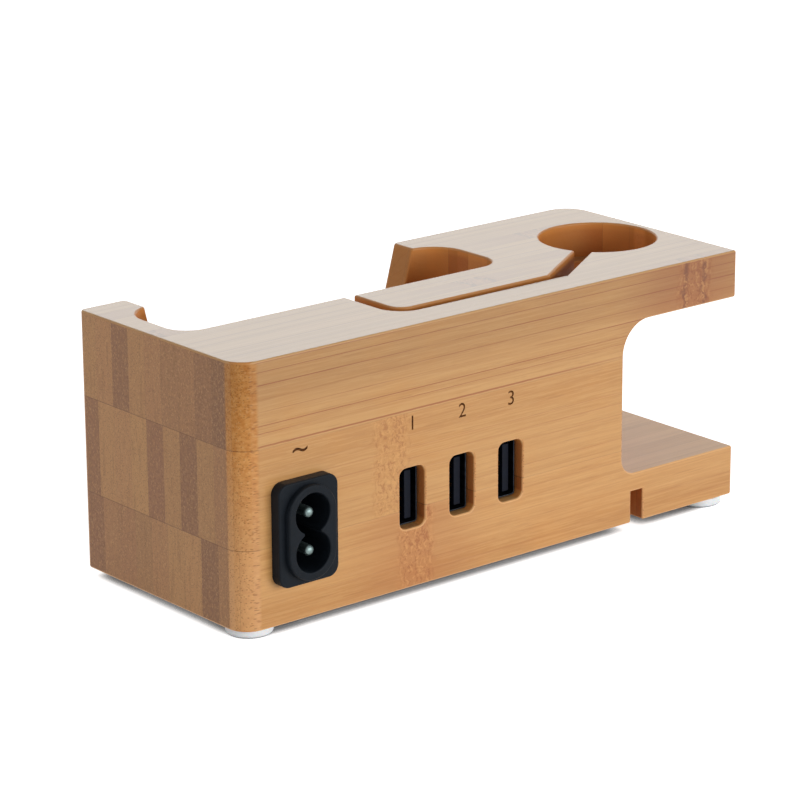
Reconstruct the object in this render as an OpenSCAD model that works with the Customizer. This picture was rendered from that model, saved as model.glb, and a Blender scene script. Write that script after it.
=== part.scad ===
// Bamboo phone and watch stand with a built-in three-port USB charger.
// The shapes are drawn in a bench frame: x runs from the charger end to the watch end,
// y from the rear face to the front, and z up from the underside of the wood.

/* [Block] */
// Length of the block
body_l = 146; // [140:1:180]
// Depth of the block, rear face to front
body_d = 58; // [55:1:80]
// Height of the wood
body_h = 60; // [58:1:80]
// Thickness of the lowest bamboo board
lower_board_t = 18.3; // [17:0.1:20]
// Thickness of the middle bamboo board
middle_board_t = 22.2; // [20:0.1:24]
// Round of the upright corner beside the mains inlet
inlet_corner_r = 5.5; // [1:0.5:8]
// Round of the front upright corner at the charger end
charger_corner_r = 1.5; // [1:0.5:6]
// Round of the front upright corner at the watch end
watch_corner_r = 6.5; // [1:0.5:10]
// Round of the rear upright corner at the watch end
arm_corner_r = 0.5; // [0.5:0.5:4]

/* [Phone pocket] */
// End wall between the charger end and the pocket
pocket_wall = 6; // [4:0.5:10]
// Length of the pocket
pocket_l = 91.4; // [84:0.2:94]
// Wood between the rear face and the pocket
pocket_from_rear = 27.7; // [26:0.1:30]
// Thickness of the front lip
lip_t = 7.4; // [5:0.2:10]
// Round of the two rear corners of the pocket
pocket_rear_r = 6; // [2:0.5:8]
// Round of the two front corners of the pocket
pocket_front_r = 8.5; // [2:0.5:10]
// Height of the pocket floor above the underside of the wood
floor_z = 18; // [14:0.1:18]
// Length of the hook at the charger end of the lip, at the top
near_hook_l = 6.4; // [3:0.2:10]
// Length of the hook at the watch end of the lip, at the top
far_hook_l = 7.8; // [3:0.2:10]
// Lean of each side of the dip between the hooks, in degrees from upright
dip_lean = 15.5; // [5:0.5:25]
// Height of the lip in the dip above the pocket floor
lip_h = 9.3; // [6:0.1:14]
// Round at each bottom corner of the dip
dip_r = 9; // [4:0.5:12]
// Length of the hole in the pocket floor for the phone cable
cable_hole_l = 18; // [12:0.5:30]
// Width of the hole in the pocket floor
cable_hole_w = 9; // [6:0.5:12]

/* [Watch end] */
// Distance from the charger end to the inner wall of the gap under the arm
gap_x = 110.2; // [106:0.2:118]
// Thickness of the watch arm
arm_t = 11.3; // [10.5:0.1:14]
// Thickness of the foot plate under the gap
foot_plate_t = 12.1; // [11:0.1:14]
// Round between the inner wall and the arm
gap_top_r = 8; // [3:0.5:12]
// Round between the inner wall and the foot plate
gap_bottom_r = 4; // [2:0.5:8]
// Diameter of the seat for the watch charging puck
puck_d = 27.9; // [27:0.1:28.4]
// Depth of the puck seat
puck_seat_t = 8.3; // [6:0.1:9]
// Diameter of the finger hole under the puck
finger_hole_d = 20; // [12:0.5:24]
// Distance from the watch end to the middle of the puck seat
puck_from_end = 16.1; // [15.5:0.1:20]
// Distance from the rear face to the middle of the puck seat
puck_from_rear = 30.4; // [29:0.1:34]

/* [Cable slots] */
// Width of the slot from the puck seat to the bend
puck_slot_w = 3.9; // [3:0.1:5]
// Width of the slot along the top
top_slot_w = 2.6; // [2:0.1:3.5]
// Distance from the rear face to the middle of the slot along the top
top_slot_from_rear = 10.6; // [9.5:0.1:12]
// Distance from the pocket's end wall to the slot's mouth in the pocket
slot_mouth_x = 46; // [38:0.5:60]
// Radius of the slot's middle line where it turns to the pocket
slot_turn_r = 5; // [4:0.5:7]
// Distance of the slot's bend beyond the end of the pocket
slot_bend_x = 1.9; // [0:0.1:4]
// Depth of the slots in the top
top_slot_t = 8.3; // [6:0.1:9]
// Width of the cable channel in the underside
channel_w = 3.7; // [3:0.1:5]
// Depth of the cable channel
channel_t = 7.6; // [5:0.1:8]
// Distance of the channel beyond the inner wall of the gap
channel_past_wall = 4.9; // [3:0.1:8]

/* [Sockets] */
// Height of the middle of all the sockets
socket_z = 20.8; // [20:0.1:22]
// Distance from the charger end to the middle of the mains inlet
inlet_x = 16; // [16:0.1:18]
// Width of the inlet's flange
flange_w = 16; // [14:0.1:17]
// Height of the inlet's flange
flange_h = 23.3; // [22:0.1:26]
// Thickness of the inlet's flange
flange_t = 2.8; // [2:0.1:4]
// Height of the raised collar on the flange
collar_t = 1.5; // [0.5:0.1:2.5]
// Wall of the collar round the inlet's opening
collar_wall = 1.8; // [1:0.1:2]
// Distance between the inlet's two pins
pin_pitch = 8.6; // [8.4:0.1:8.8]
// Radius of each lobe of the inlet's opening
lobe_r = 4.6; // [4.4:0.1:4.7]
// Width of the opening between the lobes
waist_w = 4.4; // [3.6:0.1:5]
// Diameter of the inlet's pins
pin_d = 2.4; // [2.2:0.1:2.6]
// Depth of the inlet's opening, from the front of the collar
inlet_bore_t = 14; // [12:0.5:14.5]
// Distance from the charger end to the middle of the first USB socket
usb_x = 47.1; // [46.5:0.1:49]
// Distance between neighbouring USB sockets
usb_pitch = 14.35; // [14.1:0.05:14.6]
// Width of each USB slot in the wood
usb_slot_w = 7.1; // [6.2:0.1:8]
// Height of each USB slot in the wood
usb_slot_h = 14; // [13.6:0.1:16]
// Depth from the rear face to the front of the USB shells
usb_recess = 2; // [1:0.1:3]

/* [Charger] */
// Thickness of the wood behind the sockets
rear_wall = 3.6; // [3:0.1:4]
// Distance from the charger end to the charger's cavity
cavity_x = 9; // [7:0.5:9]
// Length of the cavity
cavity_l = 95; // [94:0.5:96]
// Depth of the cavity from its rear wall to the pocket side
cavity_d = 19.4; // [18.6:0.1:20]
// Height of the cavity above the underside of the wood
cavity_h = 36; // [34:0.5:38]
// Thickness of the bottom cover
cover_t = 2.5; // [2:0.1:3]
// Margin of the cover past the ends of the cavity
cover_margin = 5.6; // [5:0.1:5.8]
// Margin of the cover past the cavity on the front side
cover_front_margin = 10; // [8:0.5:12]
// Gap round the cover
cover_gap = 0.2; // [0.1:0.05:0.4]
// Thickness of the circuit board
board_t = 1.6; // [1:0.1:2]
// Distance from the cavity's start to the circuit board
board_x = 16.4; // [15.6:0.1:17]
// Gap between the circuit board and the far end of the cavity
board_end_gap = 1.4; // [0.5:0.1:3]
// Height of the bulk capacitors
bulk_cap_h = 14; // [10:0.5:18]
// Height of the transformer core
core_h = 14; // [12:0.5:18]

/* [Feet] */
// Diameter of the feet
foot_d = 10.6; // [8:0.1:10.8]
// Thickness of the feet
foot_h = 2; // [1.5:0.1:3]
// Distance from the charger end to the middle of its rear foot
foot_x_charger = 6.3; // [6:0.1:8]
// Distance from the watch end to the middle of its rear foot
foot_x_watch = 5.6; // [5.4:0.1:8]
// Distance from each end to the middle of its front foot
foot_x_front = 9.6; // [7:0.1:12]
// Distance from the rear face to the middle of the rear foot at the charger end
foot_y_charger = 6.2; // [5.8:0.1:8]
// Distance from the rear face to the middle of the rear foot at the watch end
foot_y_watch = 5.4; // [5.4:0.1:8]
// Distance from the front face to the middle of the front feet
foot_y_front = 6.2; // [5.4:0.1:8]

/* [Hidden] */
$fn = 64;

bamboo = [0.80, 0.62, 0.42];
black = [0.10, 0.10, 0.11];
steel = [0.75, 0.75, 0.77];
nylon = [0.90, 0.90, 0.88];
pin_metal = [0.85, 0.86, 0.88];
sleeve = [0.12, 0.14, 0.20];

// A cut runs this far past an open face
past = 1;

// Heights
seam_low = lower_board_t;
seam_high = lower_board_t + middle_board_t;
lip_z = floor_z + lip_h;
arm_z = body_h - arm_t;

// Phone pocket
pocket_x0 = pocket_wall;
pocket_x1 = pocket_wall + pocket_l;
pocket_y0 = pocket_from_rear;
pocket_y1 = body_d - lip_t;
pocket_mid_x = (pocket_x0 + pocket_x1) / 2;
cable_hole_shift = 3;
cable_hole_y = (pocket_y0 + pocket_y1) / 2 + cable_hole_shift;

// Watch end
puck_x = body_l - puck_from_end;
channel_x = gap_x + channel_past_wall;

// Cable slots in the top
slot_x = pocket_x0 + slot_mouth_x;
bend_x = pocket_x1 + slot_bend_x;
slot_overlap = 0.5;
slot_angle = atan2(puck_from_rear - top_slot_from_rear, puck_x - bend_x);

// Mains inlet
inlet_proud = flange_t + collar_t;
flange_r = 2.6;
flange_lap = 1.8;
inlet_body_w = flange_w - 2 * flange_lap;
inlet_body_h = flange_h - 2 * flange_lap;
inlet_floor_y = inlet_bore_t - inlet_proud;
inlet_floor_t = 3;
inlet_body_end = inlet_floor_y + inlet_floor_t;
inlet_fit = 0.15;
wing_t = 0.7;
wing_l = 5;
wing_h = 6;
pin_set_back = 1;
tab_l = 4;
tab_w = 4;
tab_t = 0.8;
tab_end = inlet_body_end + tab_l;

// USB sockets, to the sizes of the standard receptacle
usb_w = 5.7;
usb_h = 13.1;
usb_l = 14;
usb_wall = 0.3;
usb_r = 0.7;
usb_slot_r = 1.8;
tongue_t = 1.84;
tongue_w = 11.1;
tongue_side_gap = 1;
tongue_set_back = 0.6;
tongue_l = 8.6;
contact_w = 1;
contact_t = 0.3;
contact_z = [3.5, 1, -1, -3.5];
contact_set_back = tongue_set_back + 0.8;
contact_tail_gap = 0.5;
contact_tail_step = 1.1;
// Side of the tongue that carries the contacts, measured from the middle of the socket
tongue_x1 = usb_w / 2 - usb_wall - tongue_side_gap;
tongue_x0 = tongue_x1 - tongue_t;

// Circuit board, with its three posts
board_rear_gap = 0.6;
board_front_gap = 1.4;
board_top = socket_z - usb_h / 2;
board_under = board_top - board_t;
board_x0 = cavity_x + board_x;
board_x1 = cavity_x + cavity_l - board_end_gap;
board_y0 = rear_wall + board_rear_gap;
board_y1 = rear_wall + cavity_d - board_front_gap;
between_12 = usb_x + usb_pitch / 2;
between_23 = usb_x + 3 * usb_pitch / 2;
post_inset = 3;
post_y = board_y1 - post_inset;
post_places = [
    [board_x0 + post_inset, post_y],
    [between_12, post_y],
    [board_x1 - post_inset, post_y]
];
post_screw_d = 2.5;
post_screw_past_nut = 0.6;
post_d = 5;
nut_af = 5;
nut_t = 2;
bolt_head_d = 4.6;
bolt_head_t = 1.5;
sheet_t = 0.3;
sheet_gap = 1;

// Mains side: wires, fuse, rectifier and bulk capacitors
part_gap = 0.4;
wire_d = 1.6;
wire_bend_r = 2;
wire_from_tab_end = 1.5;
wire_lower_land = 3;
wire_upper_land = 7.5;
fuse_d = 3.6;
fuse_l = 8.4;
fuse_cap_l = 1.8;
fuse_waist = 0.4;
bridge_l = 3.4;
bridge_w = 4.8;
bridge_t = 2.5;
bulk_cap_d = 8;
bulk_cap_gap = 1.7;
bulk_cap_x = usb_x - usb_w / 2 - bulk_cap_gap - bulk_cap_d / 2;

// Transformer bay beyond the third USB socket
disc_d = 7;
disc_t = 1.6;
core_l = 11;
core_t = 5.6;
core_leg = 2;
core_mid = 3.4;
core_foot = 2;
window_w = (core_l - 2 * core_leg - core_mid) / 2;
window_h = core_h - core_foot - 2 * core_leg;
coil_d = core_t + 2 * window_w;
coil_w = core_mid + 2 * window_w;
disc_x = usb_x + 2 * usb_pitch + usb_w / 2 + part_gap;
core_x = disc_x + disc_t + part_gap + coil_d / 2;
core_y = board_y0 + part_gap / 2 + core_l / 2;
diode_l = 7;
diode_w = 6;
diode_t = 2.3;

// Low-voltage side, between the USB sockets
choke_d = 6.2;
choke_coil_d = 5.4;
choke_rim_t = 1;
choke_coil_h = 5;
choke_y = board_y0 + part_gap / 2 + choke_d / 2;
main_cap_d = 6.3;
small_cap_d = 5;
out_cap_h = 11;
main_cap_y = board_y0 + part_gap + main_cap_d / 2;
chip_l = 5;
chip_w = 4;
chip_t = 1.6;

// Bottom cover
cover_x0 = cavity_x - cover_margin;
cover_x1 = cavity_x + cavity_l + cover_margin;
cover_y0 = rear_wall;
cover_y1 = rear_wall + cavity_d + cover_front_margin;
screw_d = 2.6;
screw_l = 10;
screw_head_d = 5.2;
screw_head_t = 1.5;
screw_fit = 0.05;
screw_tip_gap = 0.5;
cross_l = 2.8;
cross_w = 0.6;
cross_t = 0.7;
end_screw_y = 17;
screw_places = [
    [cover_x0 + cover_margin / 2, end_screw_y],
    [cover_x1 - cover_margin / 2, end_screw_y],
    [cavity_x + cavity_l / 4, cover_y1 - cover_front_margin / 2],
    [cavity_x + 3 * cavity_l / 4, cover_y1 - cover_front_margin / 2]
];

// The bench frame set on the object's own axes, with the origin under the middle
// of the whole object: the collar of the inlet stands out past the rear face.
module bench() {
    translate([body_l / 2, (body_d - inlet_proud) / 2, foot_h])
        rotate([0, 0, 180])
            children();
}

// Quarter of a square corner that a round of radius r takes away
module corner_waste(r) {
    difference() {
        translate([-past, -past])
            square(r + past);
        translate([r, r])
            circle(r);
    }
}

// Rectangle about the origin with round corners
module round_rect(w, h, r) {
    square([w - 2 * r, h], center = true);
    square([w, h - 2 * r], center = true);
    for (sx = [-1, 1], sy = [-1, 1])
        translate([sx * (w / 2 - r), sy * (h / 2 - r)])
            circle(r);
}

// Straight slot with round ends, about the origin
module round_slot(l, w) {
    square([l - w, w], center = true);
    for (side = [-1, 1])
        translate([side * (l - w) / 2, 0])
            circle(d = w);
}

// Outline of the block seen from above
module block_outline() {
    difference() {
        square([body_l, body_d]);
        corner_waste(inlet_corner_r);
        translate([0, body_d])
            mirror([0, 1])
                corner_waste(charger_corner_r);
        translate([body_l, body_d])
            rotate(180)
                corner_waste(watch_corner_r);
        translate([body_l, 0])
            mirror([1, 0])
                corner_waste(arm_corner_r);
    }
}

// Outline of the phone pocket seen from above
module pocket_outline() {
    difference() {
        translate([pocket_x0, pocket_y0])
            square([pocket_l, pocket_y1 - pocket_y0]);
        translate([pocket_x0, pocket_y0])
            corner_waste(pocket_rear_r);
        translate([pocket_x1, pocket_y0])
            mirror([1, 0])
                corner_waste(pocket_rear_r);
        translate([pocket_x0, pocket_y1])
            mirror([0, 1])
                corner_waste(pocket_front_r);
        translate([pocket_x1, pocket_y1])
            rotate(180)
                corner_waste(pocket_front_r);
    }
}

// Dip between the hooks, seen from the front, with z on the second axis
module dip_outline() {
    top_z = body_h + past;
    low_x0 = pocket_x0 + near_hook_l + (body_h - lip_z) * tan(dip_lean);
    low_x1 = pocket_x1 - far_hook_l - (body_h - lip_z) * tan(dip_lean);
    side_run = (top_z - lip_z) * tan(dip_lean);
    difference() {
        polygon([
            [low_x0, lip_z], [low_x1, lip_z],
            [low_x1 + side_run, top_z], [low_x0 - side_run, top_z]
        ]);
        translate([low_x0, lip_z])
            dip_corner_waste();
        translate([low_x1, lip_z])
            mirror([1, 0])
                dip_corner_waste();
    }
}

// Wood left in a bottom corner of the dip by a round that touches floor and leaning side
module dip_corner_waste() {
    lean = 90 + dip_lean;
    set_in = dip_r / tan(lean / 2);
    difference() {
        polygon([
            [-past * sin(dip_lean), 0], [0, -past], [set_in, -past],
            [set_in, dip_r], [-set_in * sin(dip_lean), set_in * cos(dip_lean)],
            [-set_in * sin(dip_lean) - past, set_in * cos(dip_lean)]
        ]);
        translate([set_in, dip_r])
            circle(dip_r);
    }
}

// Gap between the watch arm and the foot plate, with z on the second axis
module gap_outline() {
    difference() {
        translate([gap_x, foot_plate_t])
            square([body_l - gap_x + past, arm_z - foot_plate_t]);
        translate([gap_x, foot_plate_t])
            corner_waste(gap_bottom_r);
        translate([gap_x, arm_z])
            mirror([0, 1])
                corner_waste(gap_top_r);
    }
}

// Upright plane x, z set up so that it is extruded from the rear to the front
module from_rear(depth, start = 0) {
    translate([0, start + depth, 0])
        rotate([90, 0, 0])
            linear_extrude(depth)
                children();
}

// Slots in the top that carry the watch cable from the puck seat to the pocket
module top_slots_outline() {
    translate([bend_x, top_slot_from_rear])
        rotate(slot_angle)
            translate([0, -puck_slot_w / 2])
                square([norm([puck_x - bend_x, puck_from_rear - top_slot_from_rear]), puck_slot_w]);
    translate([slot_x + slot_turn_r, top_slot_from_rear - top_slot_w / 2])
        square([bend_x - slot_x - slot_turn_r + slot_overlap, top_slot_w]);
    translate([slot_x - top_slot_w / 2, top_slot_from_rear + slot_turn_r])
        square([top_slot_w, pocket_y0 + past - top_slot_from_rear - slot_turn_r]);
    translate([slot_x + slot_turn_r, top_slot_from_rear + slot_turn_r])
        intersection() {
            difference() {
                circle(slot_turn_r + top_slot_w / 2);
                circle(slot_turn_r - top_slot_w / 2);
            }
            rotate(180)
                square(slot_turn_r + top_slot_w);
        }
}

// Cable channel in the underside, from the hole in the pocket floor to the rear face
module channel() {
    translate([pocket_mid_x, cable_hole_y - channel_w / 2, -past])
        cube([channel_x - pocket_mid_x, channel_w, channel_t + past]);
    translate([channel_x - channel_w / 2, -past, -past])
        cube([channel_w, cable_hole_y + channel_w / 2 + past, channel_t + past]);
}

// Everything that is cut out of the glued bamboo
module wood_cuts() {
    translate([0, 0, floor_z])
        linear_extrude(body_h - floor_z + past)
            pocket_outline();
    from_rear(lip_t + 2 * past, pocket_y1 - past)
        dip_outline();
    from_rear(body_d + 2 * past, -past)
        gap_outline();
    translate([puck_x, puck_from_rear, body_h - puck_seat_t])
        cylinder(d = puck_d, h = puck_seat_t + past);
    translate([puck_x, puck_from_rear, arm_z - past])
        cylinder(d = finger_hole_d, h = arm_t);
    translate([0, 0, body_h - top_slot_t])
        linear_extrude(top_slot_t + past)
            top_slots_outline();
    translate([pocket_mid_x, cable_hole_y, -past])
        linear_extrude(floor_z + 2 * past)
            round_slot(cable_hole_l, cable_hole_w);
    channel();
    translate([cavity_x, rear_wall, -past])
        cube([cavity_l, cavity_d, cavity_h + past]);
    translate([cover_x0, cover_y0, -past])
        cube([cover_x1 - cover_x0, cover_y1 - cover_y0, cover_t + past]);
    for (place = screw_places)
        translate([place.x, place.y, 0])
            cylinder(d = screw_d + 2 * screw_fit, h = screw_l + screw_tip_gap);
    translate([inlet_x, 0, socket_z])
        from_rear(rear_wall + 2 * past, -past)
            round_rect(inlet_body_w + 2 * inlet_fit, inlet_body_h + 2 * inlet_fit, flange_r);
    for (i = [0:2])
        translate([usb_x + i * usb_pitch, 0, socket_z])
            from_rear(rear_wall + 2 * past, -past)
                round_rect(usb_slot_w, usb_slot_h, usb_slot_r);
}

// The glued block between two heights
module block_slab(z0, z1) {
    color(bamboo)
        bench()
            difference() {
                translate([0, 0, z0])
                    linear_extrude(z1 - z0)
                        block_outline();
                wood_cuts();
            }
}

// Top board: watch arm, tongue, hooks and the top half of the pocket
module upper_board() {
    block_slab(seam_high, body_h);
}

// Middle board: pocket walls and the top of the charger's cavity
module middle_board() {
    block_slab(seam_low, seam_high);
}

// Bottom board: pocket floor, foot plate, cable channel and the open cavity
module lower_board() {
    block_slab(0, seam_low);
}

// Plate let into the underside that closes the cavity
module bottom_cover() {
    color(black)
        bench()
            difference() {
                translate([cover_x0 + cover_gap, cover_y0 + cover_gap, 0])
                    cube([
                        cover_x1 - cover_x0 - 2 * cover_gap,
                        cover_y1 - cover_y0 - 2 * cover_gap,
                        cover_t
                    ]);
                for (place = screw_places)
                    translate([place.x, place.y, 0]) {
                        translate([0, 0, -past])
                            cylinder(d = screw_d + 2 * screw_fit, h = cover_t + 2 * past);
                        cylinder(d1 = screw_head_d, d2 = screw_d, h = screw_head_t);
                    }
                for (place = post_places)
                    translate([place.x, place.y, -past]) {
                        cylinder(d = post_screw_d + 2 * screw_fit, h = cover_t + 2 * past);
                        cylinder(d = bolt_head_d + 2 * screw_fit, h = bolt_head_t + past);
                    }
            }
}

// Countersunk wood screws that hold the cover
module cover_screws() {
    color(steel)
        bench()
            for (place = screw_places)
                translate([place.x, place.y, 0])
                    difference() {
                        union() {
                            cylinder(d1 = screw_head_d, d2 = screw_d, h = screw_head_t);
                            cylinder(d = screw_d, h = screw_l);
                        }
                        for (turn = [0, 90])
                            rotate(turn)
                                translate([-cross_l / 2, -cross_w / 2, -past])
                                    cube([cross_l, cross_w, past + cross_t]);
                    }
}

// Sheet that keeps the live board off the cover
module insulating_sheet() {
    color([0.93, 0.92, 0.86])
        bench()
            difference() {
                translate([cavity_x + sheet_gap, rear_wall + sheet_gap, cover_t])
                    cube([cavity_l - 2 * sheet_gap, cavity_d - 2 * sheet_gap, sheet_t]);
                for (place = post_places)
                    translate([place.x, place.y, cover_t - past])
                        cylinder(d = post_screw_d + 2 * screw_fit, h = sheet_t + 2 * past);
            }
}

// Soft round pad under a corner, with a worn lower edge
module foot(x, y) {
    edge = 0.4;
    color([0.92, 0.94, 0.96])
        bench()
            translate([x, y, -foot_h]) {
                cylinder(d1 = foot_d - 2 * edge, d2 = foot_d, h = edge);
                translate([0, 0, edge])
                    cylinder(d = foot_d, h = foot_h - edge);
            }
}

module foot_charger_rear() {
    foot(foot_x_charger, foot_y_charger);
}

module foot_charger_front() {
    foot(foot_x_front, body_d - foot_y_front);
}

module foot_watch_rear() {
    foot(body_l - foot_x_watch, foot_y_watch);
}

module foot_watch_front() {
    foot(body_l - foot_x_front, body_d - foot_y_front);
}

// Figure of eight that the mains plug enters
module eight_outline() {
    for (side = [-1, 1])
        translate([0, side * pin_pitch / 2])
            circle(lobe_r);
    square([waist_w, pin_pitch], center = true);
}

// Straight-sided oval round the figure of eight
module collar_outline() {
    collar_r = lobe_r + collar_wall;
    for (side = [-1, 1])
        translate([0, side * pin_pitch / 2])
            circle(collar_r);
    square([2 * collar_r, pin_pitch], center = true);
}

// Two-pole mains inlet: flange and collar outside, snap-in body behind the wall
module inlet_housing() {
    color(black)
        bench()
            translate([inlet_x, 0, socket_z])
                difference() {
                    union() {
                        from_rear(flange_t, -flange_t)
                            round_rect(flange_w, flange_h, flange_r);
                        from_rear(collar_t, -inlet_proud)
                            collar_outline();
                        from_rear(inlet_body_end)
                            round_rect(inlet_body_w, inlet_body_h, flange_r - inlet_fit);
                        for (side = [-1, 1])
                            translate([side * inlet_body_w / 2, rear_wall, 0])
                                snap_wing();
                    }
                    from_rear(inlet_bore_t + past, -inlet_proud - past)
                        eight_outline();
                    for (side = [-1, 1])
                        translate([0, inlet_floor_y - past, side * pin_pitch / 2])
                            rotate([-90, 0, 0])
                                cylinder(d = pin_d, h = inlet_body_end - inlet_floor_y + 2 * past);
                }
}

// Small wedge that locks the inlet behind the wall
module snap_wing() {
    translate([0, 0, -wing_h / 2])
        linear_extrude(wing_h)
            polygon([[-wing_t, 0], [wing_t, 0], [0, wing_l]]);
}

// Contact pin of the inlet, with its solder tab behind
module inlet_pin(side) {
    color(pin_metal)
        bench()
            translate([inlet_x, 0, socket_z + side * pin_pitch / 2]) {
                tip_y = -inlet_proud + pin_set_back;
                tip_r = pin_d / 2;
                translate([0, tip_y + tip_r, 0])
                    rotate([-90, 0, 0])
                        cylinder(d = pin_d, h = inlet_body_end - tip_y - tip_r);
                translate([0, tip_y + tip_r, 0])
                    sphere(tip_r);
                translate([-tab_w / 2, inlet_body_end, -tab_t / 2])
                    cube([tab_w, tab_end - inlet_body_end, tab_t]);
            }
}

module inlet_pin_upper() {
    inlet_pin(1);
}

module inlet_pin_lower() {
    inlet_pin(-1);
}

// Wire from a solder tab of the inlet across and down to the circuit board
module inlet_wire(side, land_x) {
    y = tab_end - wire_from_tab_end;
    start_x = inlet_x + tab_w / 2;
    run_z = socket_z + side * pin_pitch / 2;
    bend_r = min(wire_bend_r, run_z - board_top);
    color(side > 0 ? [0.45, 0.25, 0.15] : [0.20, 0.35, 0.65])
        bench() {
            translate([start_x, y, run_z])
                rotate([0, 90, 0])
                    cylinder(d = wire_d, h = land_x - bend_r - start_x);
            translate([land_x - bend_r, y, run_z - bend_r])
                rotate([90, 0, 0])
                    rotate_extrude(angle = 90)
                        translate([bend_r, 0])
                            circle(d = wire_d);
            if (run_z - bend_r > board_top)
                translate([land_x, y, board_top])
                    cylinder(d = wire_d, h = run_z - bend_r - board_top);
        }
}

module inlet_wire_upper() {
    inlet_wire(1, board_x0 + wire_upper_land);
}

module inlet_wire_lower() {
    inlet_wire(-1, board_x0 + wire_lower_land);
}

// Circuit board with the holes of its three screws
module charger_board() {
    color([0.10, 0.35, 0.18])
        bench()
            difference() {
                translate([board_x0, board_y0, board_under])
                    cube([board_x1 - board_x0, board_y1 - board_y0, board_t]);
                for (place = post_places)
                    translate([place.x, place.y, board_under - past])
                        cylinder(d = post_screw_d + 2 * screw_fit, h = board_t + 2 * past);
            }
}

// Nylon tubes between the insulating sheet and the board
module board_spacers() {
    low = cover_t + sheet_t;
    color(nylon)
        bench()
            for (place = post_places)
                translate([place.x, place.y, low])
                    difference() {
                        cylinder(d = post_d, h = board_under - low);
                        translate([0, 0, -past])
                            cylinder(
                                d = post_screw_d + 2 * screw_fit,
                                h = board_under - low + 2 * past
                            );
                    }
}

// Machine screws up through cover, tubes and board
module board_screws() {
    color(steel)
        bench()
            for (place = post_places)
                translate([place.x, place.y, 0]) {
                    cylinder(d = bolt_head_d, h = bolt_head_t);
                    translate([0, 0, bolt_head_t])
                        cylinder(
                            d = post_screw_d,
                            h = board_top + nut_t + post_screw_past_nut - bolt_head_t
                        );
                }
}

// Six-sided nuts on top of the board
module board_nuts() {
    color(steel)
        bench()
            for (place = post_places)
                translate([place.x, place.y, board_top])
                    difference() {
                        cylinder(d = nut_af / cos(30), h = nut_t, $fn = 6);
                        translate([0, 0, -past])
                            cylinder(d = post_screw_d + 2 * screw_fit, h = nut_t + 2 * past);
                    }
}

// Middle of a USB socket at the front of its shell
module at_usb(i) {
    bench()
        translate([usb_x + i * usb_pitch, usb_recess, socket_z])
            children();
}

// Hollow of a USB shell seen from the rear
module usb_inside() {
    round_rect(usb_w - 2 * usb_wall, usb_h - 2 * usb_wall, usb_r - usb_wall);
}

// Folded metal shell of a USB socket, standing on edge on the board
module usb_shell(i) {
    color(steel)
        at_usb(i)
            difference() {
                from_rear(usb_l)
                    round_rect(usb_w, usb_h, usb_r);
                from_rear(usb_l + 2 * past, -past)
                    usb_inside();
            }
}

module usb_shell_1() {
    usb_shell(0);
}

module usb_shell_2() {
    usb_shell(1);
}

module usb_shell_3() {
    usb_shell(2);
}

// One contact: along the tongue, out of the back and down to the board
module contact(k) {
    tail_y = usb_l + contact_tail_gap + (len(contact_z) - 1 - k) * contact_tail_step;
    translate([tongue_x0, contact_set_back, contact_z[k] - contact_w / 2])
        cube([contact_t, tail_y + contact_t - contact_set_back, contact_w]);
    translate([tongue_x0, tail_y, -usb_h / 2])
        cube([contact_t, contact_w, contact_z[k] + contact_w / 2 + usb_h / 2]);
}

// Plastic block and tongue inside a USB socket
module usb_insulator(i) {
    color(black)
        at_usb(i)
            difference() {
                union() {
                    translate([tongue_x0, tongue_set_back, -tongue_w / 2])
                        cube([tongue_t, tongue_l, tongue_w]);
                    from_rear(usb_l - tongue_set_back - tongue_l, tongue_set_back + tongue_l)
                        usb_inside();
                }
                for (k = [0:3])
                    contact(k);
            }
}

module usb_insulator_1() {
    usb_insulator(0);
}

module usb_insulator_2() {
    usb_insulator(1);
}

module usb_insulator_3() {
    usb_insulator(2);
}

// The four contacts of a USB socket
module usb_contacts(i) {
    color([0.85, 0.70, 0.35])
        at_usb(i)
            for (k = [0:3])
                contact(k);
}

module usb_contacts_1() {
    usb_contacts(0);
}

module usb_contacts_2() {
    usb_contacts(1);
}

module usb_contacts_3() {
    usb_contacts(2);
}

// Ceramic fuse lying beside the wires
module fuse() {
    color([0.85, 0.80, 0.70])
        bench()
            translate([board_x0 + post_inset, board_y0 + part_gap, board_top + fuse_d / 2])
                rotate([-90, 0, 0]) {
                    cylinder(d = fuse_d, h = fuse_cap_l);
                    translate([0, 0, fuse_cap_l])
                        cylinder(d = fuse_d - fuse_waist, h = fuse_l - 2 * fuse_cap_l);
                    translate([0, 0, fuse_l - fuse_cap_l])
                        cylinder(d = fuse_d, h = fuse_cap_l);
                }
}

module bridge_rectifier() {
    x = bulk_cap_x - bulk_cap_d / 2 - part_gap - bridge_l;
    y = board_y0 + part_gap + (fuse_l - bridge_w) / 2;
    color(black)
        bench()
            translate([x, y, board_top])
                cube([bridge_l, bridge_w, bridge_t]);
}

// Standing can capacitor with a groove near its foot
module can_capacitor(x, y, d, h) {
    groove_z = 1.2;
    groove_w = 0.6;
    groove_t = 0.3;
    translate([x, y, board_top]) {
        cylinder(d = d, h = groove_z);
        translate([0, 0, groove_z])
            cylinder(d = d - 2 * groove_t, h = groove_w);
        translate([0, 0, groove_z + groove_w])
            cylinder(d = d, h = h - groove_z - groove_w);
    }
}

module bulk_capacitor_1() {
    color(sleeve)
        bench()
            can_capacitor(bulk_cap_x, board_y0 + part_gap + bulk_cap_d / 2, bulk_cap_d, bulk_cap_h);
}

module bulk_capacitor_2() {
    color(sleeve)
        bench()
            can_capacitor(bulk_cap_x, board_y1 - part_gap - bulk_cap_d / 2, bulk_cap_d, bulk_cap_h);
}

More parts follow.
